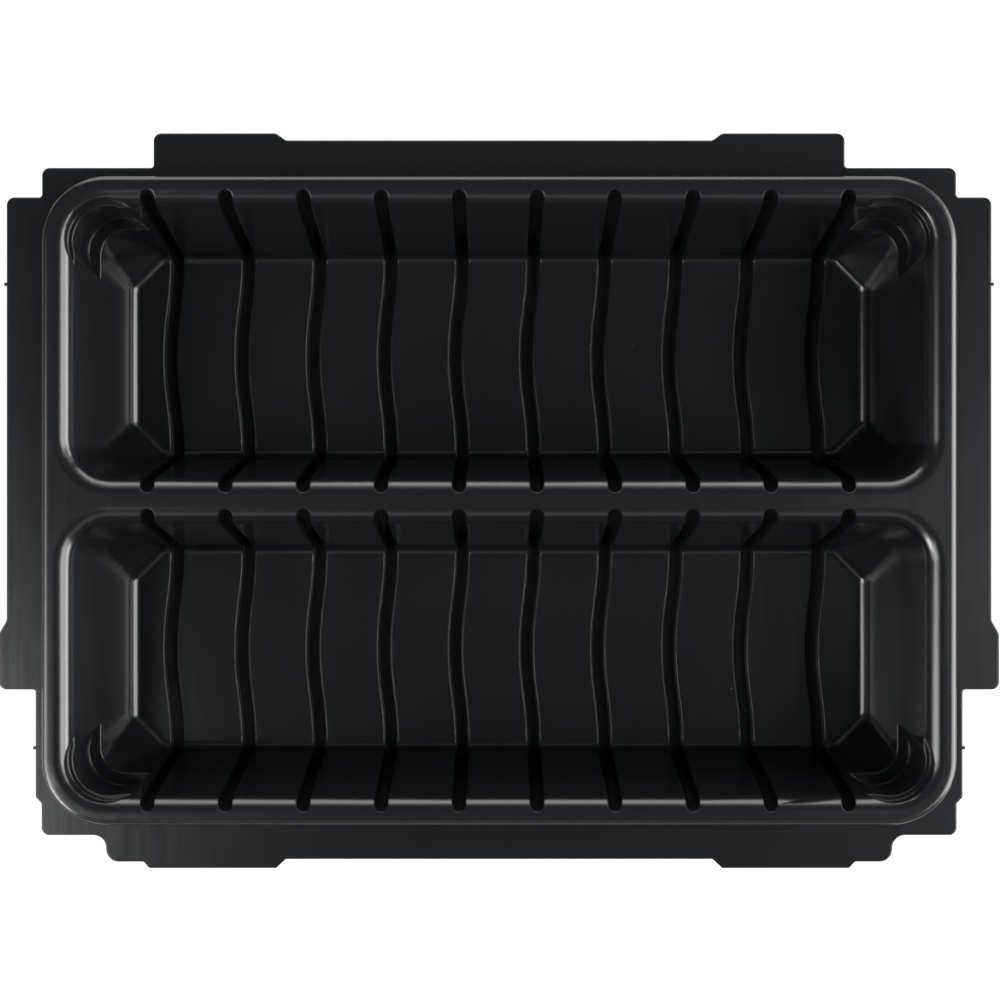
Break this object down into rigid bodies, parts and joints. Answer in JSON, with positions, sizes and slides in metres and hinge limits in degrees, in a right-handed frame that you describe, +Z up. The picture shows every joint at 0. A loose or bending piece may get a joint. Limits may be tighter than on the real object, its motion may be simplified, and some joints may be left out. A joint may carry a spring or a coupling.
{
  "type": "case insert tray",
  "caption": "Vacuum-formed plastic insert tray for a case: deep tubs side by side with wavy divider grooves, a raised rim and a flat trimmed flange.",
  "frame": {"origin": "below the middle of the flange, in the plane of the undersides of the floor grooves that the tray stands on", "axes": "+X along the tubs, +Y across them towards the side without the corner ears, +Z up out of the mouths"},
  "size_m": [0.388, 0.285, 0.083],
  "materials": {
    "sheet": "smooth black sheet with a soft sheen"
  },
  "bodies": {
    "root": {"insert_tray": "sheet"}
  },
  "joints": []
}
